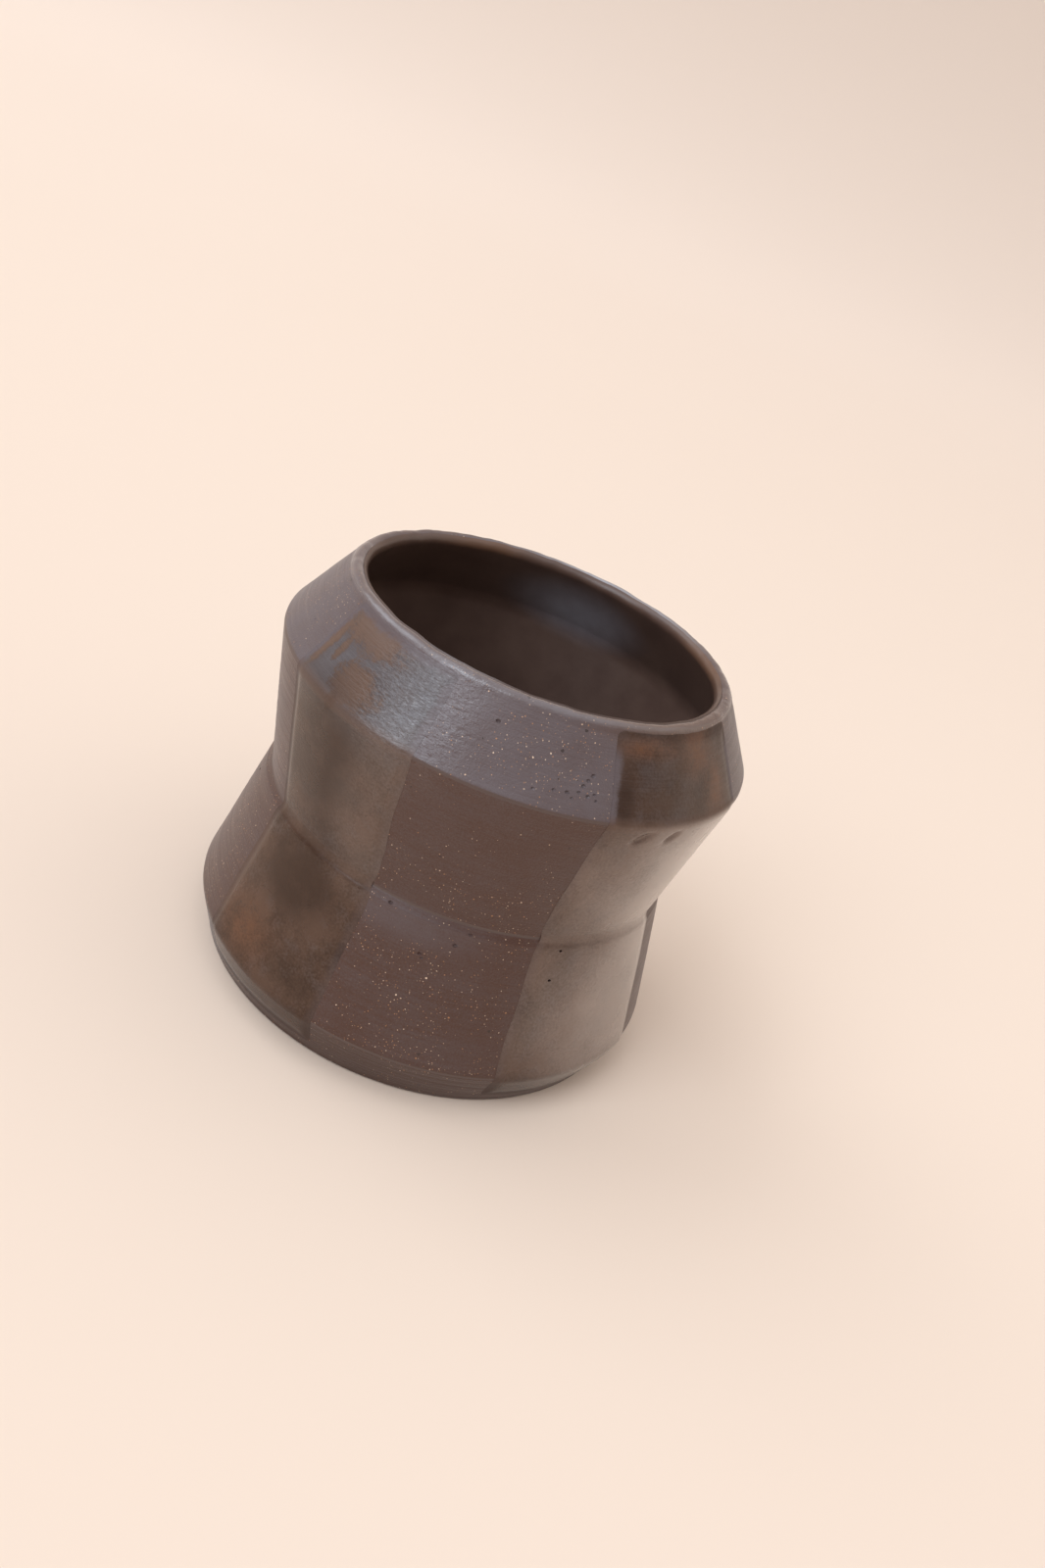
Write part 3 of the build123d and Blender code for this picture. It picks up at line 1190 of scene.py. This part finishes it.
panel_glaze = Finish("panel_glaze")
glaze_patterns = GlazePatterns(panel_glaze)
print("Patterns of the glaze:", ", ".join(vars(glaze_patterns)))

# %% Colour of the glaze
GLAZE_DARK = (0.034, 0.012, 0.004, 1)
GLAZE_BROWN = (0.088, 0.044, 0.026, 1)
GLAZE_FLAT = (0.145, 0.083, 0.056, 1)
GLAZE_RUST_AND_REFLECTION = (0.125, 0.046, 0.016, 1)
# Painted sheen: a blue-grey that stands for window light reflected off the glaze.
GLAZE_PAINTED_SHEEN = (0.114, 0.102, 0.108, 1)
# A pale glaze colour, also used as a painted reflection of the bright surround on the front right.
GLAZE_PALE_AND_REFLECTION = (0.215, 0.147, 0.118, 1)
# Painted sheen: spots where the glaze is mixed towards a blue-grey that stands for reflected window light.
PAINTED_SHEEN_SPOTS = [
    # azimuth, height, half width, half height
    (-38.0, 67.0, 15.0, 8.0), (-22.0, 68.0, 8.0, 7.0), (150.0, 66.0, 9.0, 6.0), (226.0, 67.0, 9.0, 6.0),
]
# Dark spots: the one on the upper front left is a painted reflection of a dark surround, the others are
# darker glaze.
DARK_AND_REFLECTION_SPOTS = [
    (31.6, 64.0, 1.6, 3.2), (-40.0, 52.0, 8.5, 10.5), (-34.0, 27.0, 7.0, 5.0), (150.0, 47.0, 7.0, 8.0),
    (220.0, 22.0, 8.0, 7.0),
]
# Rust where the glaze breaks thin; the spot low on the front left is a painted warm reflection.
RUST_AND_REFLECTION_SPOTS = [
    (38.0, 71.2, 5.5, 1.2), (56.0, 70.5, 4.0, 3.0), (62.0, 65.0, 3.0, 5.0),
    (-42.0, 14.0, 6.0, 4.5), (133.0, 72.0, 9.0, 1.8), (243.0, 72.0, 9.0, 1.8),
]


def glaze_colour(glaze, seen):
    """Dark to mid brown, pale, flat, dark and rusty in spots, with painted sheen, reflections and shade, and
    bare clay in its thin rims.
    """
    tone = (seen.clouds + 0.35 * (seen.pebble - 0.5)).between(0.3, 0.7) * (1 - 0.45 * seen.shoulder)
    colour = glaze.mix(tone, GLAZE_DARK, GLAZE_BROWN)
    # Pale glaze, and a painted reflection that makes the front right paler.
    colour = glaze.mix(seen.pale_and_reflection, colour, GLAZE_PALE_AND_REFLECTION)
    # Painted sheen on the shoulder and the front left, strongest on the window side.
    painted_light_mask = largest(glaze, PAINTED_SHEEN_SPOTS, soft=0.8) + 0.5 * seen.speckle + seen.shoulder * (seen.drift - 0.4)
    painted_sheen = painted_light_mask * (1 - seen.flat) * window_side(glaze)
    colour = glaze.mix(painted_sheen * 0.8, colour, GLAZE_PAINTED_SHEEN)
    colour = glaze.mix(seen.flat * 0.8, colour, GLAZE_FLAT)
    # Painted shade by the foot, and dark spots, one of which is a painted dark reflection.
    painted_shade_and_dark = glaze.maths("MAXIMUM", 0.8 * foot_shade(glaze), largest(glaze, DARK_AND_REFLECTION_SPOTS, soft=0.6))
    colour = glaze.mix(painted_shade_and_dark * (0.9 + seen.speckle), colour, GLAZE_DARK)
    # Rust, and one painted warm reflection low on the front left.
    rust_and_reflection = largest(glaze, RUST_AND_REFLECTION_SPOTS, soft=0.9) * (0.6 + seen.speckle)
    colour = glaze.mix(rust_and_reflection, colour, GLAZE_RUST_AND_REFLECTION)
    # Clay shows through the thin rims, in the clay's painted-sheen blue-grey.
    colour = glaze.mix(seen.bare, colour, CLAY_PAINTED_SHEEN)
    # The ridge is lighter where the glaze breaks thin, and the waist crease is lightened as painted light
    # against its shade.
    return glaze.mix(0.35 * seen.edges, colour, GLAZE_FLAT)


panel_glaze.set(Base_Color=glaze_colour(panel_glaze, glaze_patterns))
print("Nodes in the glaze so far:", len(panel_glaze.tree.nodes))

# %% Surface of the glaze
FAR_RIGHT_FADE = (24, 34)


def glaze_surface(glaze, seen):
    """How rough, bumpy and glossy the glaze is: dull at its rims, glossiest in glints and pale spots."""
    relief = glaze.noise(around=1.3, upright=0.5, detail=3, shift=8.0)
    waves = glaze.noise(around=4.5, detail=1, shift=8.0)
    rough = 0.26 + 0.16 * (seen.clouds - 0.5) + 0.14 * seen.flat + 0.16 * seen.bare
    rough = rough + 0.2 * seen.edges - 0.18 * seen.glints
    rough = rough + seen.shoulder * (0.1 + 0.3 * (seen.streaks - 0.5))
    rough = rough + 0.3 * (1 - seen.depth.between(0.1, 0.9)) * (1 - seen.glints)
    far_right = seen.near_pale_and_reflection * seen.to_right.between(*FAR_RIGHT_FADE)
    gloss = 0.05 + 0.9 * seen.pale_and_reflection + 0.58 * seen.glints * sparkle(glaze) + 0.5 * far_right
    normal = glaze.bump(waves, depth=0.06)
    normal = glaze.bump(seen.streaks * seen.shoulder, depth=0.07, under=normal)
    normal = glaze.bump(relief * (0.06 + seen.glints), depth=0.5, under=normal)
    normal = glaze.bump(seen.pebble, depth=0.016, under=normal)
    glaze.set(Roughness=rough, Normal=normal, IOR=1.44)
    glaze.set(Coat_Weight=glaze.maths("MINIMUM", gloss, 1.0), Coat_Roughness=0.28, Coat_IOR=2.0)
    glaze.set(Sheen_Weight=0.08, Sheen_Roughness=0.3)


glaze_surface(panel_glaze, glaze_patterns)
for panel in panels:
    panel.data.materials.append(panel_glaze.material)
print("Glaze finish on", len(panels), "panels")

# %% [markdown]
# ## Liner glaze and slip
#
# The liner is a plainer dark brown than the panels, with a painted blue-grey highlight under the lip at the
# back and rust in two places on its crest. It could share the panels' finish, but their spots have no place
# inside, so it has a short one of its own. The slip is the same clay thinned with water, so on the outside
# its rings look like the clay beside them, only finer and without grit.

# %% Finish of the liner
LINER_DARK = (0.092, 0.054, 0.042, 1)
LINER_BROWN = (0.122, 0.074, 0.056, 1)
# Painted highlight: a blue-grey under the lip at the back.
LINER_PAINTED_HIGHLIGHT = (0.31, 0.30, 0.335, 1)
LINER_RUST = (0.16, 0.08, 0.045, 1)
LINER_HIGHLIGHT_SPOT = (172.0, 65.0, 10.0, 4.5)
CREST_STAINS = [
    # azimuth, height, half width, half height
    (112.0, 73.5, 9.0, 3.0), (212.0, 73.5, 7.0, 3.0),
]


def liner_finish():
    """Satin dark brown glaze with a painted highlight and a rusty crest."""
    glaze = Finish("liner_glaze")
    clouds = glaze.noise(around=9, detail=3, shift=3.0)
    pebble = glaze.noise(around=0.8, detail=1, shift=5.0)
    # Painted highlight under the lip at the back.
    painted_light_mask = spot(glaze, *LINER_HIGHLIGHT_SPOT, soft=0.8) * (0.7 + 0.8 * (clouds - 0.5))
    colour = glaze.mix(clouds.between(0.3, 0.75), LINER_DARK, LINER_BROWN)
    colour = glaze.mix(painted_light_mask, colour, LINER_PAINTED_HIGHLIGHT)
    crest = glaze.height.between(LIP_START - 1.5, LIP_START) * (1 - window_side(glaze))
    stained = 0.15 + largest(glaze, CREST_STAINS, soft=0.7)
    colour = glaze.mix(crest * stained * (0.8 + 2.0 * (clouds - 0.5)), colour, LINER_RUST)
    rough = 0.34 + 0.2 * (clouds - 0.5)
    glaze.set(Base_Color=colour, Roughness=rough, Normal=glaze.bump(pebble, depth=0.015))
    return glaze.material


liner.data.materials.append(liner_finish())
print("Liner finish:", liner.data.materials[0].name)

# %% Finish of the slip
SLIP_BROWN = (0.078, 0.044, 0.034, 1)
SLIP_GREY = (0.098, 0.066, 0.06, 1)


def slip_finish():
    """Dry fired slip."""
    slip = Finish("fired_slip")
    streaks = slip.noise(around=14, upright=0.4, detail=3)
    grain = slip.noise(around=0.3, detail=2, shift=2.0)
    colour = slip.mix(streaks, SLIP_BROWN, SLIP_GREY)
    rough = 0.42 + 0.3 * (grain - 0.5)
    slip.set(Base_Color=colour, Roughness=rough, Normal=slip.bump(grain, depth=0.015), IOR=1.6)
    return slip.material


fired_slip = slip_finish()
for piece in slip_pieces:
    piece.data.materials.append(fired_slip)
print("Slip finish on", len(slip_pieces), "rings")

# %% [markdown]
# ## The stage
#
# A pale cream sheet runs from under the cup up into a backdrop. A floor and a wall would meet in a line
# behind the cup. So the sheet is one plane whose far edge is extruded upwards, with a broad bevel in
# between, and no horizon shows. It is painted paler with distance, as painted light that brightens the
# backdrop.

# %% Floor and backdrop
FLOOR_SIZE = 14.0
BACKDROP_HEIGHT = 6.0
SWEEP = 5.0
SWEEP_SEGMENTS = 24


def make_sweep():
    """A floor that curves up into a backdrop behind the cup."""
    start_alone()
    bpy.ops.mesh.primitive_plane_add(size=FLOOR_SIZE, location=(0, 0, 0))
    sweep = bpy.context.object
    sweep.name = "paper_sweep"
    bpy.ops.object.mode_set(mode="EDIT")
    pick_vertices(sweep, lambda place: place.y > 0)
    bpy.ops.mesh.extrude_region_move(TRANSFORM_OT_translate={"value": (0, 0, BACKDROP_HEIGHT)})
    pick_vertices(sweep, lambda place: place.y > 0 and place.z < SWEEP)
    bpy.ops.mesh.bevel(offset=SWEEP, segments=SWEEP_SEGMENTS, affect="EDGES")
    bpy.ops.object.mode_set(mode="OBJECT")
    bpy.ops.object.shade_smooth()
    return sweep


sweep = make_sweep()
print("Sweep:", len(sweep.data.polygons), "faces")

# %% Finish of the paper
PAPER_CREAM = (0.81, 0.66, 0.54, 1)
PAPER_PALE = (0.84, 0.70, 0.58, 1)
# Painted light: a paler cream for the far backdrop.
PAPER_FAR_LIGHT = (0.92, 0.78, 0.665, 1)
PAPER_CLOUD = 900
FAR_START = 150
FAR_END = 2500


def paper_finish():
    """Matt cream paper, painted paler towards the back as painted light, with its distances in millimetres.
    """
    paper = Finish("cream_paper")
    colour = paper.mix(paper.noise(PAPER_CLOUD, detail=2), PAPER_CREAM, PAPER_PALE)
    # Painted light: the paper is mixed towards a paler cream with distance.
    far_light = paper.along(Vector((0, 1, 0))).between(FAR_START, FAR_END)
    colour = paper.mix(far_light, colour, PAPER_FAR_LIGHT)
    paper.set(Base_Color=colour, Roughness=0.9, Specular_IOR_Level=0.1)
    return paper.material


sweep.data.materials.append(paper_finish())
print("Paper finish:", sweep.data.materials[0].name)

# %% [markdown]
# ## Light
#
# The light is soft and even. A picture of a room could give it, but three colours are enough for the
# surround: bright and cool overhead, cream at the back and more faintly on the right, and dimmer near the
# horizon on the camera's side, so that the glaze has something dark to reflect. The cream floor throws light
# back up at the walls. A wide, cool window high on the front left gives the shoulder its blue-grey sheen,
# and a second, fainter one on the left lights the lip.

# %% Surround
SURROUND_FRONT = (0.36, 0.31, 0.28, 1)
SURROUND_BACK = (1.0, 0.89, 0.78, 1)
SURROUND_TOP = (1.06, 1.06, 1.10, 1)
SURROUND_STRENGTH = 1.0
RIGHT_SHARE = 0.4
BACK_FULL = 0.7
TOP_START = 0.4
TOP_FULL = 0.9


def make_surround():
    """A world that is cream at the back and on the right, dimmer in front, and cool and bright overhead."""
    world = bpy.data.worlds.new("cream_surround")
    world.use_nodes = True
    bpy.context.scene.world = world
    sky = Wire(world.node_tree)
    way = sky.add("ShaderNodeTexCoord", result="Generated")
    depth = sky.add("ShaderNodeSeparateXYZ", None, {0: way}, "Y")
    to_right = depth.other("X").between(0.0, 1.0)
    to_back = (depth + RIGHT_SHARE * to_right).between(0.0, BACK_FULL)
    level = sky.mix(to_back, SURROUND_FRONT, SURROUND_BACK)
    colour = sky.mix(depth.other("Z").between(TOP_START, TOP_FULL), level, SURROUND_TOP)
    background = world.node_tree.nodes["Background"]
    sky.fill(background.inputs["Color"], colour)
    background.inputs["Strength"].default_value = SURROUND_STRENGTH
    return world


print("Surround:", make_surround().name)

# %% Windows
LIGHT_TARGET = Vector((0, 0, 40 * MM))


def soft_light(name, azimuth, elevation, distance, size, power, colour):
    """A wide area light that faces the cup, and that the camera doesn't see."""
    start_alone()
    lift = math.radians(elevation)
    way = direction(azimuth) * math.cos(lift) + Vector((0, 0, math.sin(lift)))
    bpy.ops.object.light_add(type="AREA", location=LIGHT_TARGET + way * distance)
    light = bpy.context.object
    light.name = name
    light.visible_camera = False
    light.data.shape = "RECTANGLE"
    light.data.size, light.data.size_y = size
    light.data.energy = power
    light.data.color = colour
    light.rotation_euler = (-way).to_track_quat("-Z", "Y").to_euler()


soft_light(
    "window",
    azimuth=-40,
    elevation=40,
    distance=4.0,
    size=(2.2, 2.9),
    power=78.0,
    colour=(0.80, 0.89, 1.0),
)
soft_light(
    "left_window",
    azimuth=-105,
    elevation=46,
    distance=4.0,
    size=(2.6, 2.6),
    power=40.0,
    colour=(0.84, 0.91, 1.0),
)
bpy.context.scene.view_settings.view_transform = "Standard"

# %% [markdown]
# ## Camera
#
# The camera stands where the photograph was taken from: close to the cup, looking down, and rolled, because
# the cup leans in the picture. A shifted lens could frame the cup, but the shift would stay in every other
# view. So the camera first looks straight at a point inside the cup. Then it is rolled, and at last it is
# swung so that the point falls on its own pixel of the picture, which measures 1066 by 1600.

# %% Camera
PICTURE = Vector((1066, 1600))
FOCAL_PIXELS = 1300
SENSOR = 36.0
AIM_POINT = Vector((0, 0, 45 * MM))
AIM_PIXEL = Vector((501.3, 774.4))
CAMERA_DISTANCE = 234.1 * MM
CAMERA_ELEVATION = math.radians(26.74)
CAMERA_ROLL = math.radians(21.95)
CLIP_START = 10 * MM


def make_camera():
    """The camera of the photograph."""
    start_alone()
    back = Vector((0, -math.cos(CAMERA_ELEVATION), math.sin(CAMERA_ELEVATION)))
    bpy.ops.object.camera_add(location=AIM_POINT + back * CAMERA_DISTANCE)
    camera = bpy.context.object
    camera.data.sensor_width = SENSOR
    camera.data.lens = FOCAL_PIXELS * SENSOR / PICTURE.y
    camera.data.clip_start = CLIP_START
    off_centre = (AIM_PIXEL - PICTURE / 2) / FOCAL_PIXELS
    to_pixel = Vector((off_centre.x, -off_centre.y, -1))
    swing = Vector((0, 0, -1)).rotation_difference(to_pixel)
    straight = (-back).to_track_quat("-Z", "Y")
    rolled = straight @ Quaternion((0, 0, 1), CAMERA_ROLL)
    camera.rotation_euler = (rolled @ swing.inverted()).to_euler()
    bpy.context.scene.camera = camera
    return camera


camera = make_camera()
print("Camera at", camera.location, "with a lens of", camera.data.lens, "mm")

# %% [markdown]
# The visual model has to keep to the imported model's box.
